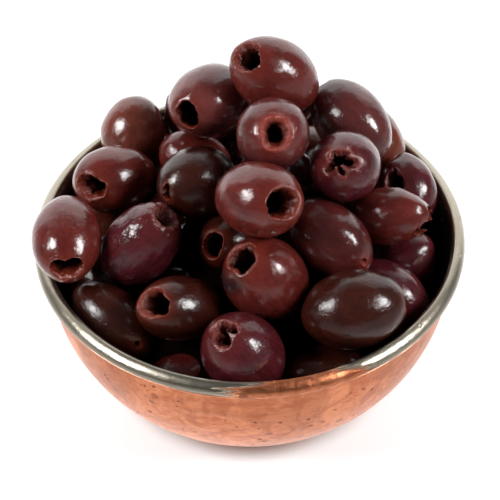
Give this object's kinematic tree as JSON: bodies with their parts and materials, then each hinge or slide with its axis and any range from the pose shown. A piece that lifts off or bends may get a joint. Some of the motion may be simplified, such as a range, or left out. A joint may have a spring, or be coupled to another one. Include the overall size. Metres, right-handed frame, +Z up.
{
  "type": "dish of olives",
  "caption": "Small round-bottomed copper bowl with a rolled, tinned lip, heaped above its rim with pitted dark olives that show their holes.",
  "frame": {"origin": "centre of the bowl's flat underside, where it stands on the table", "axes": "+Z up, out of the bowl; the front of the heap, whose olives show most, faces -Y"},
  "size_m": [0.12, 0.12, 0.1001],
  "materials": {
    "copper": "satin, worn",
    "olive_skin": "wet gloss"
  },
  "bodies": {
    "root": {"bowl": "copper", "olives": "olive_skin"}
  },
  "joints": []
}
